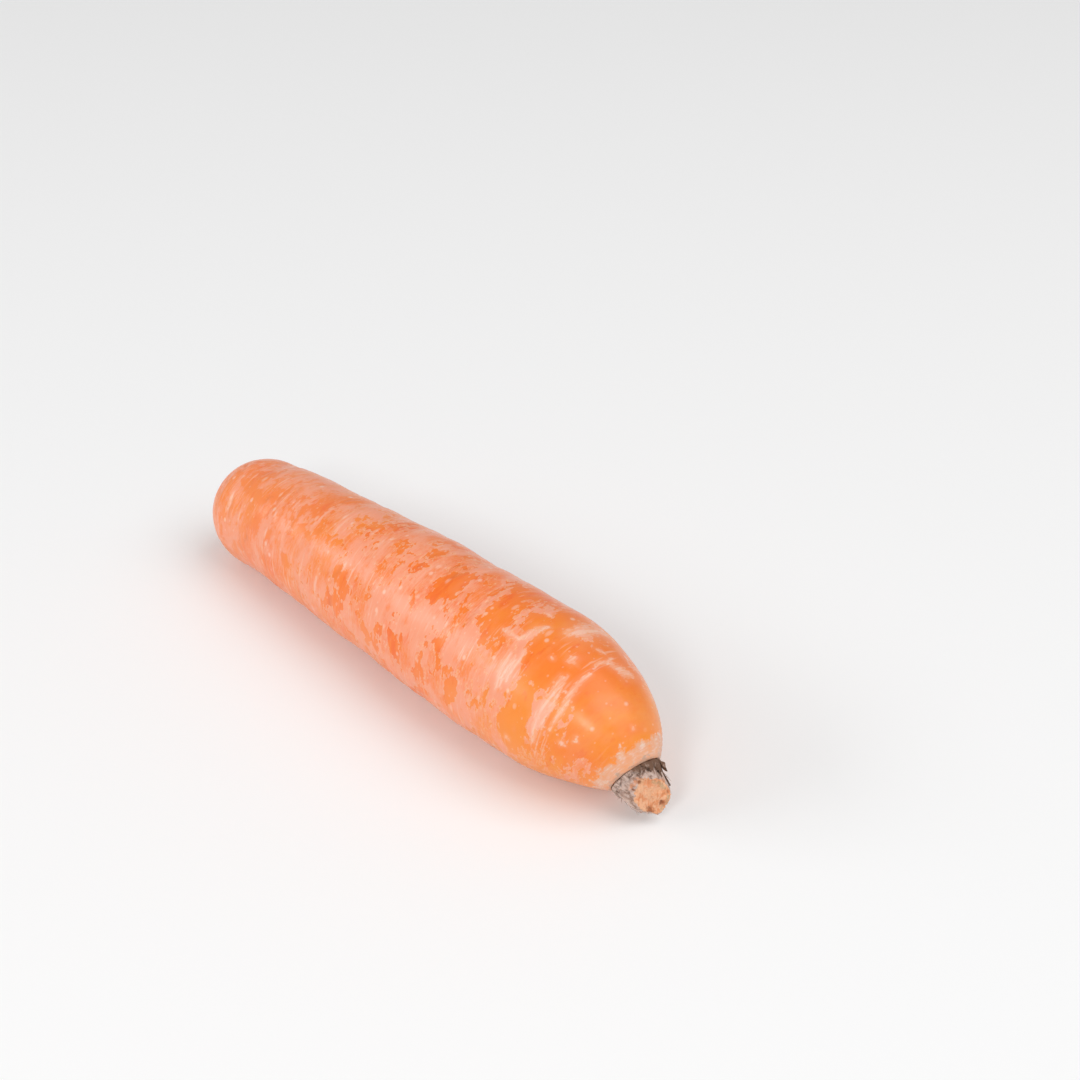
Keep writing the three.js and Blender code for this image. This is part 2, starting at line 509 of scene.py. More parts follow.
def place_at_pixel(pixel):
    """How far along the root, in mm, and at which turn round it, a pixel of the picture shows."""
    across = (pixel[0] - picture_width / 2) / focal_pixels
    upward = (picture_width / 2 - pixel[1]) / focal_pixels
    ray = np.array((camera_right * across + camera_up * upward - toward_camera).normalized())
    from_camera = skin_points - np.array(camera.location)
    depth = from_camera @ ray
    off_ray = np.linalg.norm(from_camera - depth[:, None] * ray, axis=1)
    off_ray[skin_normals @ np.array(toward_camera) < 0] = behind
    nearest = int(np.argmin(off_ray))
    return along[nearest], around[nearest]


def reach_of_marks(marks):
    """Each vertex's distance to the nearest mark, in half widths of that mark."""
    least = np.full(len(along), no_mark)
    for first, second, half_width in marks.values():
        start_along, start_turn = place_at_pixel(first)
        end_along, end_turn = place_at_pixel(second)
        travel = end_along - start_along
        travel_round = turn_to(end_turn, start_turn) * out_from_line
        from_start = along - start_along
        from_start_round = turn_to(around, start_turn) * out_from_line
        length_squared = travel**2 + travel_round**2 + 1e-6
        share = (from_start * travel + from_start_round * travel_round) / length_squared
        share = np.clip(share, 0, 1)
        off = from_start - share * travel + mark_wander_mm * np.sin(7 * share + start_along)
        off_round = from_start_round - share * travel_round
        tapered = half_width * (0.6 + 0.5 * np.sin(math.pi * share))
        least = np.minimum(least, np.hypot(off, off_round) / tapered)
    return least


skin_points = read_vectors(skin.data, "position")
skin_normals = read_normals(skin.data)
store_number(skin, "pale_reach", reach_of_marks(pale_marks))
store_number(skin, "clear_reach", reach_of_marks(clear_gaps))
store_number(skin, "film_reach", reach_of_marks(film_patches))
streak_foot = place_at_pixel(pale_marks["middle streak"][0])
print("the middle streak starts at, mm from the tip:", round(streak_foot[0], 1))

# %% [markdown]
# ## Crown rings, lumps and the tail scar
#
# Close to the collar the skin has faint rings, like the lines of a shell. Over the whole body it is
# never quite even: it has low lumps that are longer round the root than along it. At the tip, where
# the thin end of the root broke off, there is a low knob with a pit. All of it is added as geometry,
# so the outline and the highlights are uneven too. The lumps come from fractal noise that is read
# at the place on the straight carrot.

# %% Shape the crown, the body and the tip
ring_reach_mm = 17
ring_height_mm = 0.045
ring_spacing_mm = 1.25
lump_height_mm = 0.08
lump_stretch = np.array([1.0, 0.55, 0.55])
tail_scar_mm = 0.22
tail_pit_share = 1.3
knob_width_mm = 2.2
pit_width_mm = 0.9


def sample_noise(points, scale, octaves, seed):
    """Fractal noise between about minus and plus one at each point."""
    shift = Vector((seed, 2.7 * seed, -1.3 * seed))
    spots = (Vector(point) * scale + shift for point in points)
    return np.array([noise.fractal(spot, 1.0, 2.0, octaves) for spot in spots])


def crown_rings():
    wobble = 1.4 * np.sin(2 * around + 0.6) + 0.5 * np.sin(5 * around)
    near_rim = 1 - smooth_step(to_rim, 0.35 * ring_reach_mm, ring_reach_mm)
    on_skin = smooth_step(to_rim, 0.2, 1.5)
    waves = np.sin(2 * math.pi * (to_rim + 0.3 * wobble) / ring_spacing_mm)
    return ring_height_mm * near_rim * on_skin * waves


def lumps():
    wide = sample_noise(place * lump_stretch, 0.14, 3, 3.1)
    small = sample_noise(place * lump_stretch, 0.55, 2, 8.3)
    away_from_rim = smooth_step(to_rim, 1, 12)
    return lump_height_mm * (wide + 0.35 * small) * away_from_rim


def tail_scar():
    knob = bell(along / knob_width_mm)
    return tail_scar_mm * (knob - tail_pit_share * bell(along / pit_width_mm))


crown_to_tip = crown_rings() + lumps() + tail_scar()
print("crown, body and tip by at most, mm:", round(float(np.abs(crown_to_tip).max()), 2))

# %% [markdown]
# ## Moving the skin
#
# All the relief is summed before anything moves, because a second move would follow the normals of
# the first. The vertices of the two pressed flats would dip below the table, so they are held on
# it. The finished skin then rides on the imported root's body and stands for it.

# %% Raise and lower the skin
skin_relief = scar_rise + crease_lips - crease_valley + crown_to_tip
move_along_normals(skin, skin_relief, floor=0.0)
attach(skin, "root")
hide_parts("root")
print("relief from", round(float(skin_relief.min()), 2), "to", round(float(skin_relief.max()), 2))

# %% [markdown]
# ## The stub of the leaf stalks
#
# The leaves were cut off with a knife just above the root. What is left is a short round stub of
# stalk bases, dry and fibrous at its side, dark where the old sheaths rot at its foot, and tan
# where the knife went through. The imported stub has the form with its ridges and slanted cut. The
# same walk over its rings finds the edge of the cut, and how high it is all the way round.

# %% Map the stub
rings_in_cut = 3
side_ring_mm = 0.6
stub_axis = rim_axis
stub_side, stub_lift = side_and_lift(stub_axis)


def map_stub(mesh, rings):
    """Stores local places, in mm, with the height above the rim first, and the distance past the
    edge of the cut. Returns the turns and heights of that edge."""
    place_layer = mesh.verts.layers.float_vector["place"]
    cut_layer = mesh.verts.layers.float["past_edge"]
    edge = len(rings) - 1 - rings_in_cut
    for i, ring in enumerate(rings):
        inward = (radius_of(rings[edge]) - radius_of(ring)) / MM
        past = inward if i >= edge else side_ring_mm * (i - edge)
        for vert in ring:
            offset = vert.co - rim_middle
            parts = [offset.dot(way) for way in (stub_axis, stub_side, stub_lift)]
            vert[place_layer] = Vector(parts) / MM
            vert[cut_layer] = past
    edge_places = [vert[place_layer] for vert in rings[edge]]
    return sorted((math.atan2(point.z, point.y), point.x) for point in edge_places)


stub_mesh = weld("stalk_stub")
cut_edge = map_stub(stub_mesh, walk_rings(stub_mesh))
stub = make_fine_object("stalk_stub_dried", stub_mesh, 3)


def cut_height(turn):
    """How high the edge of the cut is at a turn round the stub, in mm."""
    turns, heights = zip(*cut_edge)
    return float(np.interp(turn_to(turn, 0.0), turns, heights, period=2 * math.pi))


cut_heights = [height for _, height in cut_edge]
print("cut from", round(min(cut_heights), 1), "to", round(max(cut_heights), 1), "mm high")

# %% [markdown]
# ## Fibres in the side, pits in the cut
#
# Dry stalk is a bundle of fibres, so its side has grooves that run up it and wander a little. Noise
# that is read from a squeezed copy of the place gives them: it changes fast round the stub and
# slowly up it. The cut is rough, higher in the ring of bundles near its torn edge, with pits where
# bundles came out. Four pits have rotted brown. They are what the eye finds first, so they are
# listed one by one, as two offsets from the stub's axis, a size and a depth.

# %% Groove the side and roughen the cut
groove_mm = 0.2
groove_length_share = 0.16
groove_radius = 4.6
cut_rough_mm = 0.4
torn_rim_mm = 0.4
bundle_ring_mm = 0.18
stain_sink_mm = 0.4
pit_count = 24
pits_reach_mm = 4.6
pit_size_mm = (0.25, 0.6)
pit_depth_mm = (0.1, 0.35)
brown_spots = {
    "hollow by the edge": (2.7, -1.6, 0.75, 1.0),
    "spot on the near edge": (-3.5, 1.3, 0.5, 1.0),
    "low patch": (0.1, -3.4, 1.0, 0.75),
    "slit at the foot of the cut": (-2.2, 3.2, 0.45, 0.9),
}

stub_place = read_vectors(stub.data, "place")
past_edge = read_array(stub.data.attributes["past_edge"].data, "value", 1)[:, 0]
stub_height = stub_place[:, 0]
stub_around = np.arctan2(stub_place[:, 2], stub_place[:, 1])
stub_out = np.hypot(stub_place[:, 1], stub_place[:, 2])


def side_grooves():
    across, upward = groove_radius * np.cos(stub_around), groove_radius * np.sin(stub_around)
    drawn_out = np.stack([groove_length_share * stub_height, across, upward], axis=1)
    coarse = sample_noise(drawn_out, 0.75, 2, 1.7)
    fine = sample_noise(drawn_out, 2.2, 2, 5.9)
    on_side = smooth_step(stub_height, -0.2, 1.2) * (1 - smooth_step(past_edge, -0.3, 0.4))
    return groove_mm * on_side * (coarse + 0.6 * fine)


def cut_pits(rng):
    depth = np.zeros(len(stub_out))
    for _ in range(pit_count):
        turn = rng.uniform(-math.pi, math.pi)
        out = pits_reach_mm * math.sqrt(rng.random())
        size = rng.uniform(*pit_size_mm)
        across = stub_place[:, 1] - out * math.cos(turn)
        upward = stub_place[:, 2] - out * math.sin(turn)
        depth += rng.uniform(*pit_depth_mm) * np.exp(-(across**2 + upward**2) / size**2)
    return depth


def brown_stain():
    """How close each vertex is to a brown spot, from one at its middle to nothing."""
    closest = np.zeros(len(stub_out))
    for across, upward, size, depth in brown_spots.values():
        off = np.hypot(stub_place[:, 1] - across, stub_place[:, 2] - upward)
        closest = np.maximum(closest, depth * bell(off / size))
    return closest * smooth_step(past_edge, -0.8, 0.1)


stain = brown_stain()
store_number(stub, "stain", stain)


def cut_relief(rng):
    on_cut = smooth_step(past_edge, -0.2, 0.4)
    rough = cut_rough_mm * sample_noise(stub_place, 0.6, 4, 4.4)
    bundles = bundle_ring_mm * bell((past_edge - 0.9) / 0.5)
    torn_rim = torn_rim_mm * sample_noise(stub_place, 0.9, 3, 2.2) * bell(past_edge / 0.8)
    return torn_rim + on_cut * (rough + bundles - cut_pits(rng) - stain_sink_mm * stain)


move_along_normals(stub, side_grooves() + cut_relief(random.Random(23)))
print("deepest stain, of one:", round(float(stain.max()), 2))

# %% [markdown]
# ## The sheath's ragged foot
#
# The dried sheath at the stub's foot is wider than the seat it grows from, and lies on the rim of
# the collar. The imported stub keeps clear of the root, which leaves a dark slit there. Only the
# overhang is brought down, by a wave that makes its edge ragged, so the stub itself stays in place.

# %% Lower the sheath's edge
sheath_drop_mm = 0.5
sheath_out_mm = (5.2, 6.0)
sheath_up_mm = (0.5, 1.3)


def lower_sheath():
    low = 1 - smooth_step(stub_height, *sheath_up_mm)
    overhang = smooth_step(stub_out, *sheath_out_mm) * low
    ragged = 1 + 0.5 * np.sin(9 * stub_around + 1.5 * np.sin(4 * stub_around))
    drop = sheath_drop_mm * MM * overhang * ragged
    points = read_vectors(stub.data, "position")
    write_points(stub.data, points - drop[:, None] * np.array(stub_axis))


lower_sheath()
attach(stub, "root")
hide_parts("stalk_stub")
print("stub height, mm:", round(float(stub_height.max()), 1))

# %% [markdown]
# ## Torn leaf bases
#
# Round the stub stand the torn bases of the outer stalks: thin brown flakes that hug it, wide at
# the foot and ragged at the top. Each is a small grid of points. A point is found by looking from
# outside at the stub's axis, and lies a little off the place where that line meets the stub, so a
# flake fits the uneven side that it lies on.

# %% Lay flakes on the side of the stub
flake_count = 14
flake_columns = 9
flake_rows = 14
flake_thick_mm = 0.22
flake_tall = (0.45, 0.95)  # share of the way up to the cut
flake_half_width = (0.18, 0.36)  # radians
flake_curl_mm = (0.1, 0.2, 0.4, 1.0)
off_side_mm = 0.12
outside = 0.012  # metres from the axis, clear of the stub
missed_radius = 0.004  # metres, where a look misses the stub
stub_tree = BVHTree.FromObject(stub, bpy.context.evaluated_depsgraph_get())


def on_stub_side(height_mm, turn, off_mm):
    """The point a little off the stub's side at a height and an angle round it."""
    outward = stub_side * math.cos(turn) + stub_lift * math.sin(turn)
    level = rim_middle + stub_axis * (height_mm * MM)
    hit, normal, _, _ = stub_tree.ray_cast(level + outward * outside, -outward)
    if hit is None:
        hit = level + outward * missed_radius
        normal = outward
    return hit + (normal * 0.4 + outward * 0.6).normalized() * (off_mm * MM)


def add_flake(mesh, rng, turn):
    foot = rng.uniform(-0.1, 0.3)
    tall = rng.uniform(*flake_tall) * (cut_height(turn) - foot)
    half_width = rng.uniform(*flake_half_width)
    curl = rng.choice(flake_curl_mm)
    lean = rng.uniform(-0.25, 0.25)
    grid = []
    for column in range(flake_columns):
        across = 2 * column / (flake_columns - 1) - 1
        ragged = 1 - 0.28 * rng.random() - 0.35 * abs(across) ** 1.6
        line = []
        for row in range(flake_rows):
            up = row / (flake_rows - 1)
            height = foot + tall * ragged * up
            narrowing = 1 - 0.45 * up
            angle = turn + lean * up + across * half_width * narrowing
            off = off_side_mm + 0.1 * (1 - across**2) + curl * up**3
            line.append(mesh.verts.new(on_stub_side(height, angle, off)))
        grid.append(line)
    for left, right in zip(grid, grid[1:]):
        for row in range(flake_rows - 1):
            mesh.faces.new((left[row], right[row], right[row + 1], left[row + 1]))


def make_scraps(name, mesh):
    """A smooth new object from a bmesh of scraps."""
    bmesh.ops.recalc_face_normals(mesh, faces=mesh.faces[:])
    data = bpy.data.meshes.new(name)
    mesh.to_mesh(data)
    mesh.free()
    shade_smooth(data)
    return add_object(name, data)


def make_flakes(rng):
    mesh = bmesh.new()
    for i in range(flake_count):
        add_flake(mesh, rng, 2 * math.pi * (i + 0.5 * rng.random()) / flake_count)
    piece = make_scraps("leaf_bases", mesh)
    thicken = piece.modifiers.new("thickness", "SOLIDIFY")
    thicken.thickness = flake_thick_mm * MM
    thicken.offset = 0
    return piece


flakes = make_flakes(random.Random(5))
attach(flakes, "root")
print("flake faces:", len(flakes.data.polygons))

# %% [markdown]
# ## Loose fibres
#
# Torn stalks leave threads. A thread is a thin tube along a line that starts at the foot, climbs
# the side and lifts off at its end. They are tubes of five sides in one mesh, because hair curves
# would be lost when the model is exported.

# %% Spin the fibres
fibre_count = 46
fibre_steps = 12
fibre_sides = 5
fibre_radius_mm = (0.05, 0.1)
fibre_length = (0.5, 1.0)  # share of the way up to the cut
fibre_lift_mm = (0.1, 0.2, 0.3, 0.9)


def fibre_line(rng):
    turn = rng.uniform(-math.pi, math.pi)
    foot = rng.uniform(0.1, 0.9)
    length = rng.uniform(*fibre_length) * (cut_height(turn) - foot)
    drift = rng.uniform(-0.5, 0.5)
    lift_off = rng.choice(fibre_lift_mm)
    points = []
    for step in range(fibre_steps + 1):
        up = step / fibre_steps
        sway = 0.06 * math.sin(7 * up + turn)
        off = off_side_mm + lift_off * up**3
        points.append(on_stub_side(foot + length * up, turn + drift * up + sway, off))
    return points


def add_tube(mesh, points, radius_mm):
    loops = []
    for i, point in enumerate(points):
        ahead = points[min(i + 1, len(points) - 1)] - points[max(i - 1, 0)]
        sideways = ahead.cross(stub_axis + stub_side * 0.3).normalized()
        upward = ahead.cross(sideways).normalized()
        thin = radius_mm * MM * (1 - 0.75 * (i / (len(points) - 1)) ** 2)
        loop = []
        for k in range(fibre_sides):
            turn = 2 * math.pi * k / fibre_sides
            spoke = sideways * math.cos(turn) + upward * math.sin(turn)
            loop.append(mesh.verts.new(point + spoke * thin))
        loops.append(loop)
    for lower, upper in zip(loops, loops[1:]):
        for k in range(fibre_sides):
            after = (k + 1) % fibre_sides
            mesh.faces.new((lower[k], lower[after], upper[after], upper[k]))
    mesh.faces.new(loops[0][::-1])
    mesh.faces.new(loops[-1])


def make_fibres(rng):
    mesh = bmesh.new()
    for _ in range(fibre_count):
        add_tube(mesh, fibre_line(rng), rng.uniform(*fibre_radius_mm))
    return make_scraps("stalk_fibres", mesh)


fibres = make_fibres(random.Random(17))
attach(fibres, "root")
print("fibre faces:", len(fibres.data.polygons))

# %% [markdown]
# ## Shader maths as expressions
#
# A finish is a sum of masks, and a tree of nodes for it is long to write out and hard to read. The
# class below wraps one socket, so that `1 - mask * 0.5` adds the Math nodes by itself. A second
# class holds a material and adds any other node from its type, its settings, and the values or
# links of its sockets.

# %% Wrap sockets and materials


class Wire:
    """An output socket that can be used in sums."""

    def __init__(self, paint, socket):
        self.paint = paint
        self.socket = socket

    def maths(self, operation, *values):
        settings = {"operation": operation}
        return self.paint.node("ShaderNodeMath", settings, dict(enumerate(values)))

    def __add__(self, other):
        return self.maths("ADD", self, other)

    __radd__ = __add__

    def __sub__(self, other):
        return self.maths("SUBTRACT", self, other)

    def __rsub__(self, other):
        return self.maths("SUBTRACT", other, self)

    def __mul__(self, other):
        return self.maths("MULTIPLY", self, other)

    __rmul__ = __mul__


class Paint:
    """A material and its node tree."""

    def __init__(self, name):
        self.material = bpy.data.materials.new(name)
        self.material.use_nodes = True
        self.tree = self.material.node_tree
        self.shader = self.tree.nodes["Principled BSDF"]

    def feed(self, socket, value):
        if isinstance(value, Wire):
            self.tree.links.new(value.socket, socket)
        else:
            socket.default_value = value

    def node(self, kind, settings=None, inputs=None, output=0):
        new = self.tree.nodes.new(kind)
        for name, value in (settings or {}).items():
            setattr(new, name, value)
        for name, value in (inputs or {}).items():
            self.feed(new.inputs[name], value)
        return Wire(self, new.outputs[output])

    def finish(self, **values):
        """Feeds the main shader's sockets, named with _ for each space."""
        for name, value in values.items():
            self.feed(self.shader.inputs[name.replace("_", " ")], value)


print("shader helpers ready")

# %% [markdown]
# ## Words for the paint box
#
# A few short helpers say what a finish needs over and over: a stored number or place, a stretched
# copy of a place, noise, a soft threshold, a mix of two colours, colours laid over each other, round
# specks, one part of a place, and a bump. A wire knows which material it is in, so a helper that is
# given a wire adds its node there.

# %% Name the common nodes


def stored(paint, name, output="Fac"):
    return paint.node("ShaderNodeAttribute", {"attribute_name": name}, output=output)


def stretched(vector, along_scale, around_scale, shift=0.0):
    scale = (along_scale, around_scale, around_scale)
    inputs = {0: vector, 1: scale, 2: (shift, 0.7 * shift, 1.9 * shift)}
    return vector.paint.node("ShaderNodeVectorMath", {"operation": "MULTIPLY_ADD"}, inputs)


def fractal(vector, scale, detail=4.0, rough=0.55, warp=0.0):
    inputs = {"Vector": vector, "Scale": scale, "Detail": detail}
    inputs["Roughness"] = rough
    inputs["Distortion"] = warp
    return vector.paint.node("ShaderNodeTexNoise", None, inputs)


def soft_step(value, low, high):
    inputs = {"Value": value, "From Min": low, "From Max": high}
    return value.paint.node("ShaderNodeMapRange", {"interpolation_type": "SMOOTHSTEP"}, inputs)


def mixed(share, first, second):
    settings = {"data_type": "RGBA", "clamp_factor": True}
    return share.paint.node("ShaderNodeMix", settings, {0: share, 6: first, 7: second}, output=2)


def layered(base, *layers):
    """A colour with others laid over it in turn, each with its own mask."""
    for mask, colour in layers:
        base = mixed(mask, base, colour)
    return base


def dots(vector, scale, size):
    """Round specks, one in each cell of a Voronoi pattern, and a random number for each cell."""
    inputs = {"Vector": vector, "Scale": scale}
    reach = vector.paint.node("ShaderNodeTexVoronoi", None, inputs, output="Distance")
    cell = vector.paint.node("ShaderNodeTexVoronoi", None, inputs, output="Color")
    chance = vector.paint.node("ShaderNodeSeparateColor", None, {"Color": cell})
    return soft_step(reach, size, 0.4 * size), chance


def part_of(vector, axis):
    return vector.paint.node("ShaderNodeSeparateXYZ", None, {"Vector": vector}, output=axis)


def bumped(height, strength):
    inputs = {"Strength": strength, "Distance": MM, "Height": height}
    return height.paint.node("ShaderNodeBump", None, inputs, output="Normal")


def dress(piece, paint):
    piece.data.materials.clear()
    piece.data.materials.append(paint.material)
    print(piece.name, "has a finish of", len(paint.tree.nodes), "nodes")


print("paint words ready")

# %% [markdown]
# ## The skin: orange first
#
# Under the film the skin is a clear, slightly waxy orange. It leans to yellow near the crown and to
# red lower down, and its creases are darkened with painted shade. The colours are mixed by slow
# noise, so no part is flat. The pairs of mm below are distances from the rim over which a change
# happens.

# %% Mix the orange
yellow_crown_mm = (10.0, 60.0)
yellow_orange = (0.93, 0.285, 0.03, 1)
clear_orange = (0.92, 0.2, 0.02, 1)
deep_orange = (0.88, 0.12, 0.01, 1)
# The colour of the painted shade in the creases
crease_shade_brown = (0.62, 0.14, 0.035, 1)

skin_paint = Paint("carrot_skin")
straight = stored(skin_paint, "place", "Vector")
rim_distance = stored(skin_paint, "to_rim")
crease = stored(skin_paint, "crease")
scar = stored(skin_paint, "scar")
pale_reach = stored(skin_paint, "pale_reach")
clear_reach = stored(skin_paint, "clear_reach")
film_reach = stored(skin_paint, "film_reach")


def mix_orange():
    slow = fractal(stretched(straight, 0.8, 0.6), 0.06, 3.0)
    fine = fractal(stretched(straight, 1.0, 0.35, 4.0), 0.5, 5.0, 0.6)
    near_crown = 1 - soft_step(rim_distance, *yellow_crown_mm)
    warm = soft_step(slow + 0.3 * (fine - 0.5) + 0.16 * near_crown, 0.42, 0.7)
    base = mixed(warm * (0.4 + 0.6 * near_crown), clear_orange, yellow_orange)
    redder = soft_step(fine + 0.4 * (0.5 - slow) - 0.1 * near_crown, 0.5, 0.68)
    # The creases are darkened here with painted shade.
    return layered(base, (redder * 0.6, deep_orange), (crease * 0.45, crease_shade_brown))


orange = mix_orange()
print("orange mixed, nodes so far:", len(skin_paint.tree.nodes))

# %% [markdown]
# ## The dry film
#
# The film is the carrot's outer skin, dried to a thin pinkish veil. It breaks off in flakes, so its
# patches have crisp, ragged edges, and they are longer round the root than along it. A threshold on
# noise gives such an outline. Three sizes of noise are summed: wide gaps, small holes, and the rags
# of the edge. Wide gaps rule near the crown, and small holes on the rest. The gaps found by pixel
# lower the sum where they lie, and the thick places raise it. Near the tip the film is worn, so its
# edges are blurred there. It isn't evenly thick either: a cloudy veil thins it, a fine grain mottles
# it, and thin lines run round in it.

# %% Lay the film
film_pink = (0.92, 0.335, 0.19, 1)
film_white = (0.95, 0.6, 0.45, 1)
lace_cream = (0.95, 0.55, 0.3, 1)
film_threshold = 0.472
wide_gaps_mm = (36.0, 70.0)
bare_crown_mm = (16.0, 40.0)
bare_tip_mm = (140.0, 172.0)
worn_tip_mm = (95.0, 130.0)
in_patch = 1 - soft_step(film_reach, 0.4, 1.7)


def film_field():
    """The sum that the film shows above a threshold of."""
    wide = fractal(stretched(straight, 1.0, 0.7), 0.1, 3.0, 0.5)
    holes = fractal(stretched(straight, 1.0, 0.6, 9.0), 0.3, 3.0, 0.6, 0.4)
    rags = fractal(stretched(straight, 1.0, 0.6, 4.0), 0.95, 3.0, 0.55)
    shoulder = 1 - soft_step(rim_distance, *wide_gaps_mm)
    wide_share = 0.26 + 0.24 * shoulder
    sum_of_sizes = wide * wide_share + holes * (0.74 - wide_share) + 0.26 * rags
    in_gap = 1 - soft_step(clear_reach, 0.5, 1.9)
    bare_crown = 1 - soft_step(rim_distance, *bare_crown_mm)
    bare_tip = soft_step(rim_distance, *bare_tip_mm)
    bare = 0.11 * in_gap + 0.05 * bare_crown + 0.03 * bare_tip
    return sum_of_sizes + 0.08 * in_patch - bare


field = film_field()
near_tip = soft_step(rim_distance, *worn_tip_mm)
crisp = soft_step(field, film_threshold - 0.01, film_threshold + 0.012)
faded = soft_step(field, film_threshold - 0.04, film_threshold + 0.035)
film = crisp + 0.85 * near_tip * (faded - crisp)
past_film_edge = soft_step(field, film_threshold + 0.006, film_threshold + 0.03)
clouds = fractal(stretched(straight, 1.0, 0.5, 12.0), 0.16, 5.0, 0.6)
grain = fractal(stretched(straight, 1.5, 0.5, 7.0), 1.6, 5.0, 0.65)
lines = fractal(stretched(straight, 1.0, 0.07, 2.0), 1.5, 3.0, 0.55, 0.2)
print("film laid, nodes so far:", len(skin_paint.tree.nodes))

# %% [markdown]
# ## Streaks, specks and scars
#
# Over the film lie pale streaks in bundles of thin lines, specks of dry skin, and the pale scars.
# A faint pale glow round the streaks found by pixel is a painted highlight.
# The streaks found by pixel are crossed with the same fine lines, so they look torn and not drawn.
# Each layer is a mask of its own, and the layers are mixed in from the lowest to the topmost.

# %% Add streaks and specks


def pale_streaks_and_highlight():
    bundles = fractal(stretched(straight, 1.0, 0.3, 6.0), 0.15, 3.0, 0.5)
    loose = soft_step(lines, 0.55, 0.66) * soft_step(bundles, 0.5, 0.64)
    torn = pale_reach + 3.0 * (grain - 0.5) + 1.2 * (lines - 0.5)
    near = 1 - soft_step(torn, 0.4, 1.4)
    # A faint pale glow round the found marks is a painted highlight, the soft shine over the streaks.
    highlight_haze = 1 - soft_step(pale_reach, 0.5, 3.8)
    found = near * (0.4 + 0.55 * soft_step(lines, 0.42, 0.6)) + 0.2 * highlight_haze
    return found.maths("MAXIMUM", 0.6 * loose, found)


def pale_specks():
    small, chance = dots(stretched(straight, 1.0, 0.8), 0.5, 0.36)
    tiny, tiny_chance = dots(stretched(straight, 1.0, 0.7, 3.0), 1.1, 0.36)
    few = soft_step(chance, 0.9, 0.93)
    some = soft_step(tiny_chance, 0.84, 0.9)
    return 0.8 * small * few + 0.45 * tiny * some


streaks = pale_streaks_and_highlight()
specks = pale_specks()


def colour_film():
    thick = 0.3 + 0.8 * soft_step(clouds, 0.38, 0.6) + 1.9 * (grain - 0.5)
    thick = thick + 0.3 * in_patch - 0.08 * near_tip
    in_holes = 0.2 * soft_step(clouds, 0.45, 0.7) + 0.2 * near_tip
    veil = film * thick + (1 - film) * in_holes
    rim_light = film * (1 - past_film_edge) * soft_step(grain, 0.4, 0.6) * (1 - near_tip)
    return layered(
        orange,
        (veil, film_pink),
        (rim_light * 0.6, lace_cream),
        (film * soft_step(lines, 0.5, 0.72) * 0.2, film_white),
        # The streaks' mask also carries the painted highlight that lies round them.
        (streaks * 0.65, film_white),
        (specks * 0.7, film_white),
        (soft_step(scar, 0.35, 0.8) * 0.4, film_white),
    )


filmed = colour_film()
print("streaks and specks added, nodes so far:", len(skin_paint.tree.nodes))

# %% [markdown]
# ## Scurf round the collar
#
# Around the rim the skin is dead and pale, a greyish collar a few millimetres wide whose outer edge
# is ragged, with fine rings in it and brown stains close to the stub. It is the distance to the rim
# that drives it. Rings need noise that changes only with that distance, so it is read from a place
# whose first number is stretched most.

# %% Scurf the collar
scurf_pale = (0.8, 0.44, 0.3, 1)
scurf_white = (0.84, 0.6, 0.48, 1)
scurf_grey = (0.42, 0.25, 0.17, 1)
scurf_width_mm = 4.8


def scurf_collar(base):
    ragged = fractal(stretched(straight, 1.0, 1.0, 5.0), 0.42, 5.0, 0.6)
    edge = rim_distance - (ragged - 0.5) * 9.0
    scurf = 1 - soft_step(edge, scurf_width_mm - 1.1, scurf_width_mm + 0.5)
    rings = fractal(stretched(straight, 2.2, 0.25, 1.0), 0.9, 4.0, 0.65)
    flecks = soft_step(ragged * 0.4 + grain * 0.35 + rings * 0.25, 0.48, 0.6)
    stain = 1 - soft_step(edge, -0.4, 1.1)
    pale = mixed(flecks, scurf_pale, scurf_white)
    uneven = 0.75 + 1.6 * (ragged * 0.6 + rings * 0.4 - 0.5)
    stained = stain * (0.6 + 1.6 * (grain - 0.5))
    return layered(base, (scurf * uneven, pale), (stained, scurf_grey)), scurf


skin_colour, scurf = scurf_collar(filmed)
print("collar scurfed, nodes so far:", len(skin_paint.tree.nodes))

# %% [markdown]
# ## The tip's brown scar
#
# The thin tail of the root broke off at the tip. The wound dried brown, and the skin round it is a
# little yellow. Both are masks of the distance from the tip, which the cloudy noise makes ragged.

# %% Scar the tip
tip_yellow = (0.86, 0.42, 0.12, 1)
tip_brown = (0.24, 0.12, 0.055, 1)


def scar_the_tip(base):
    from_tip = part_of(straight, "X")
    ragged = 10.0 * (clouds - 0.5) + 9.0 * (grain - 0.5)
    yellowed = 1 - soft_step(from_tip + ragged, 1.0, 6.0)
    dried = 1 - soft_step(from_tip + 0.5 * ragged, 1.0, 2.2)
    return layered(base, (yellowed * 0.45, tip_yellow), (dried * 0.85, tip_brown))


skin_colour = scar_the_tip(skin_colour)
print("tip scarred, nodes so far:", len(skin_paint.tree.nodes))

# %% [markdown]
# ## The skin's shine
#
# Bare skin is waxy and has a soft sheen, and the film and the scurf are duller. A coat over a fairly
# rough base gives both. The film, streaks, specks and pores stand up by some hundredths of a
# millimetre, which is less than the mesh can hold, so they are a bump. A little light passes under
# the skin, reddest furthest in.

# %% Finish the skin


def finish_skin():
    pores = fractal(stretched(straight, 1.0, 0.6, 8.0), 2.4, 4.0, 0.6)
    height = 0.04 * film + 0.03 * streaks + 0.05 * specks + 0.04 * pores + 0.05 * scurf * grain
    dull = soft_step(film + 0.6 * streaks + scurf, 0.0, 1.0)
    skin_paint.finish(
        Base_Color=skin_colour,
        Roughness=0.4 + 0.06 * dull + 0.15 * (grain - 0.5),
        Normal=bumped(height + 0.03 * film * lines, 0.8),
        IOR=1.32,
        Coat_Weight=0.5 - 0.05 * dull,
        Coat_Roughness=0.26,
        Subsurface_Weight=0.1,
        Subsurface_Radius=(1.0, 0.35, 0.12),
        Subsurface_Scale=0.0015,
    )


finish_skin()
dress(skin, skin_paint)

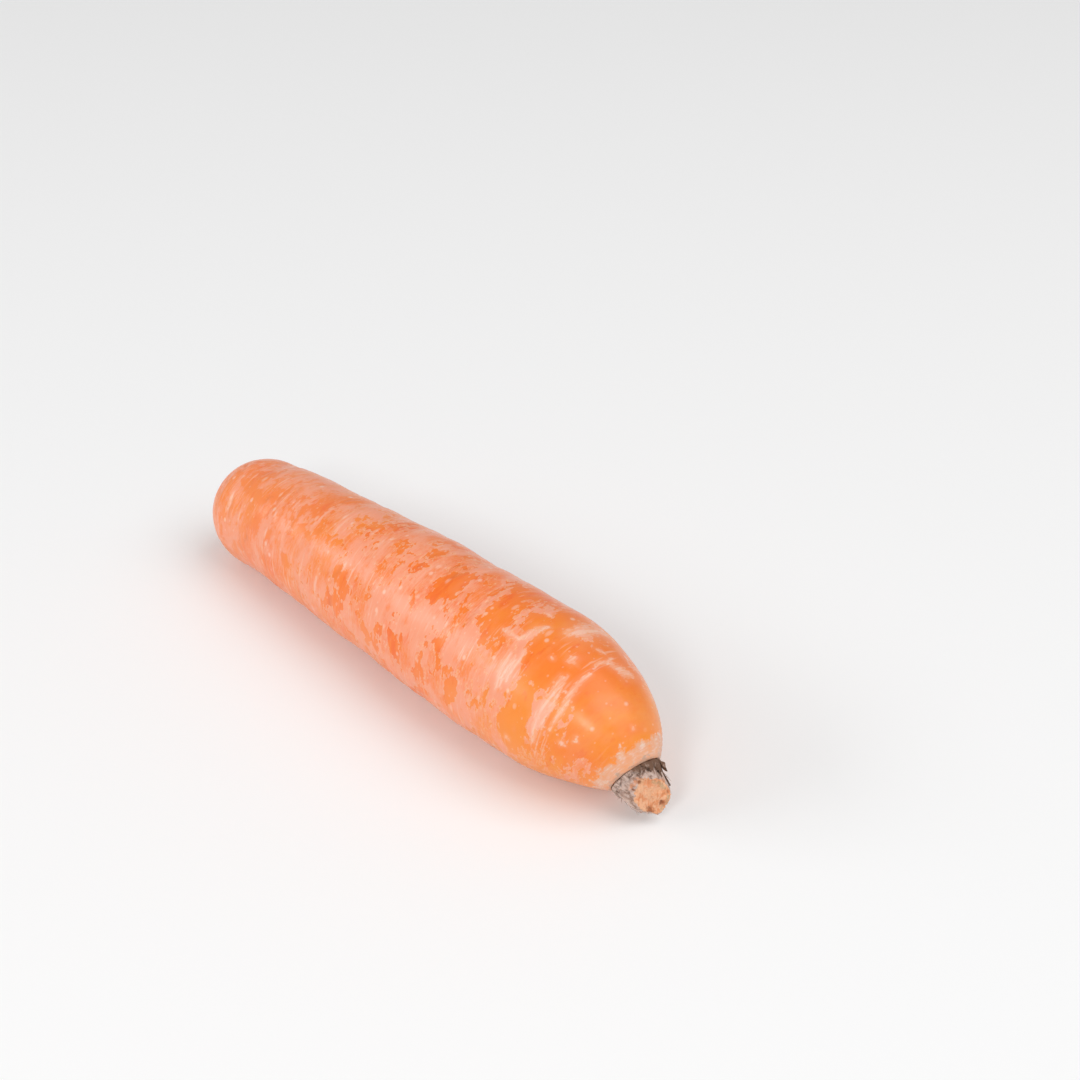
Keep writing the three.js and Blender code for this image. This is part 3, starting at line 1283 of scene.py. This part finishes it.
# %% [markdown]
# ## The stub's three finishes
#
# One material paints the stub, because its finishes run into each other: grey-brown fibre on the
# side, nearly black sheath at the foot, highest on the upper side, and tan pith on the cut with a
# greyer ring of bundles and brown stains. The height above the rim and the distance past the edge
# of the cut say which is where. Noise moves the border between side and cut, as on a torn edge.

# %% Paint the stub
fibre_grey = (0.44, 0.29, 0.23, 1)
fibre_pale = (0.66, 0.49, 0.42, 1)
fibre_dark = (0.22, 0.11, 0.07, 1)
sheath_dark = (0.16, 0.08, 0.046, 1)
pith_tan = (0.78, 0.3, 0.13, 1)
pith_pale = (0.88, 0.48, 0.28, 1)
# Brown for the rotted pits, and also for the painted shade in the cut's hollows
pith_rot_and_shade_brown = (0.3, 0.085, 0.025, 1)
bundle_grey = (0.42, 0.33, 0.19, 1)


def paint_side(local, past, blotch):
    """Fibres in grey and brown, chips of pith near the cut, and the dark sheath."""
    threads = fractal(stretched(local, 0.1, 1.0), 1.1)
    side = mixed(soft_step(threads, 0.38, 0.6), fibre_grey, fibre_pale)
    slits = soft_step(threads + 0.3 * (blotch - 0.5), 0.42, 0.34)
    upper = part_of(local, "Z")
    sheath_top = 0.18 * part_of(local, "Y") + 0.3 * upper - 0.25
    foot = 1 - soft_step(part_of(local, "X") + 3.0 * (threads - 0.5) - sheath_top, -0.3, 0.9)
    chips = soft_step(blotch, 0.48, 0.56) * soft_step(past, -3.0, -0.8)
    chips = chips * soft_step(upper, 0.0, 2.5)
    layers = (slits * 0.55, fibre_dark), (chips * 0.7, pith_tan), (foot * 0.85, sheath_dark)
    return layered(side, *layers), threads


def paint_cut(local, past, blotch):
    """Tan and cream pith, greyer bundles by the edge, and dark rips, partly painted shade."""
    inputs = {0: local, 1: (1.0, 1.5, 0.5)}
    drawn_out = local.paint.node("ShaderNodeVectorMath", {"operation": "MULTIPLY"}, inputs)
    torn = fractal(drawn_out, 0.6, 5.0, 0.65, 0.8)
    # The torn noise also raises the bump, so the cream on the raised parts is partly painted light.
    cut = mixed(soft_step(torn, 0.4, 0.58), pith_tan, pith_pale)
    ring = soft_step(past, -0.4, 0.3) * (1 - soft_step(past, 0.6, 1.6))
    bundles = ring * soft_step(blotch, 0.46, 0.6)
    # The dark rips sit in the bump's hollows: they are partly torn pith and partly painted shade.
    dark_rips_and_shade = soft_step(torn, 0.4, 0.32)
    return layered(cut, (bundles * 0.6, bundle_grey), (dark_rips_and_shade * 0.4, pith_rot_and_shade_brown)), torn


def paint_stub():
    paint = Paint("dried_stalk")
    local = stored(paint, "place", "Vector")
    past = stored(paint, "past_edge")
    blotch = fractal(stretched(local, 1.0, 1.0, 3.0), 0.42, 4.0, 0.6)
    grain = fractal(stretched(local, 1.0, 1.0, 6.0), 1.6, 5.0, 0.65)
    side, threads = paint_side(local, past, blotch)
    cut, torn = paint_cut(local, past, blotch)
    torn_edge = past + 2.6 * (blotch - 0.5) + 1.8 * (grain - 0.5)
    far_over = 0.24 * part_of(local, "Y") + 0.9 * soft_step(part_of(local, "Z"), 1.0, 4.5)
    on_cut = soft_step(torn_edge + far_over, 0.35, 0.8)
    stained = soft_step(stored(paint, "stain") + 1.6 * (grain - 0.5), 0.2, 0.8)
    paint.finish(
        Base_Color=layered(side, (on_cut, cut), (stained * 0.85, pith_rot_and_shade_brown)),
        Roughness=0.68 + 0.2 * grain,
        Normal=bumped(0.14 * threads + 0.06 * grain + 0.2 * torn, 1.0),
        Subsurface_Weight=0.05,
        Subsurface_Radius=(1.0, 0.6, 0.3),
        Subsurface_Scale=0.001,
    )
    return paint


dress(stub, paint_stub())

# %% [markdown]
# ## Flakes and fibres
#
# The torn bases are the same tissue without a cut: streaked along, and darkest on the upper side,
# where the sheath is nearly black. They carry no stored place, so their noise is read in the
# object's own coordinates, in metres, and one stored number says how near the upper side they are.

# %% Paint the flakes and fibres


def store_upper(piece):
    """How near each vertex is to the upper side of the stub, from nothing to one."""
    offsets = read_vectors(piece.data, "position") - np.array(rim_middle)
    rise = offsets @ np.array(stub_lift + stub_side * 0.5) / MM
    store_number(piece, "upper", smooth_step(rise, 2.0, 5.5))


def paint_scraps(name, dark, light):
    paint = Paint(name)
    spot = paint.node("ShaderNodeTexCoord", output="Object")
    grain = fractal(stretched(spot, 0.25, 1.0), 1100.0, 4.0, 0.6)
    shade = soft_step(grain - 0.22 * stored(paint, "upper"), 0.28, 0.68)
    paint.finish(
        Base_Color=mixed(shade, dark, light),
        Roughness=0.75 + 0.2 * grain,
        Normal=bumped(0.15 * grain, 0.8),
    )
    return paint


store_upper(flakes)
store_upper(fibres)
dress(flakes, paint_scraps("leaf_base_flake", sheath_dark, fibre_pale))
dress(fibres, paint_scraps("stalk_fibre", fibre_dark, fibre_pale))

# %% [markdown]
# ## Floor and light
#
# The light in the picture comes from all round, so the carrot has no dark side and only soft
# highlights. A bright even surround does most of that. The highlights tell where the lamps were,
# because a lamp, its highlight and the camera keep the law of reflection: one line of soft shine
# along the body points to a long lamp low on the left, and the spot on the shoulder to a small one
# next to the camera. A wide one overhead evens the floor, which is a plain pale sheet.

# %% Set the stage
surround_strength = 0.44
floor_reach = 4.0
floor_white = (0.93, 0.93, 0.93, 1)
lamp_distance = 1.6
lamps = {
    "left strip": (-38, 26, (1.3, 0.4), 6.8),
    "box by the camera": (29, 36, (0.35, 0.35), 5.5),
    "overhead": (110, 58, (1.4, 1.4), 12),
}


def make_floor():
    data = bpy.data.meshes.new("floor")
    corners = [(-floor_reach, -floor_reach, 0), (floor_reach, -floor_reach, 0)]
    corners += [(floor_reach, floor_reach, 0), (-floor_reach, floor_reach, 0)]
    data.from_pydata(corners, [], [(0, 1, 2, 3)])
    floor = add_object("floor", data)
    paint = Paint("floor")
    paint.finish(Base_Color=floor_white, Roughness=0.9)
    dress(floor, paint)


def make_lamp(name, azimuth, elevation, size, power):
    """A flat lamp that faces the carrot from an azimuth and elevation, in degrees."""
    data = bpy.data.lights.new(name, "AREA")
    data.shape = "RECTANGLE"
    data.size, data.size_y = size
    data.energy = power
    lamp = add_object(name, data)
    away = direction(azimuth, elevation)
    lamp.location = away * lamp_distance
    look_back(lamp, away)


def make_surround():
    world = bpy.data.worlds.new("surround")
    world.use_nodes = True
    inputs = world.node_tree.nodes["Background"].inputs
    inputs["Color"].default_value = (1, 1, 1, 1)
    inputs["Strength"].default_value = surround_strength
    bpy.context.scene.world = world


make_floor()
make_surround()
for name, facts in lamps.items():
    make_lamp(name, *facts)
bpy.context.scene.view_settings.view_transform = "Standard"
print("lamps:", len(lamps))

# %% [markdown]
# ## The end
#
# The dressed model has to stay within the imported one's box.

# %% Finish


print("done")
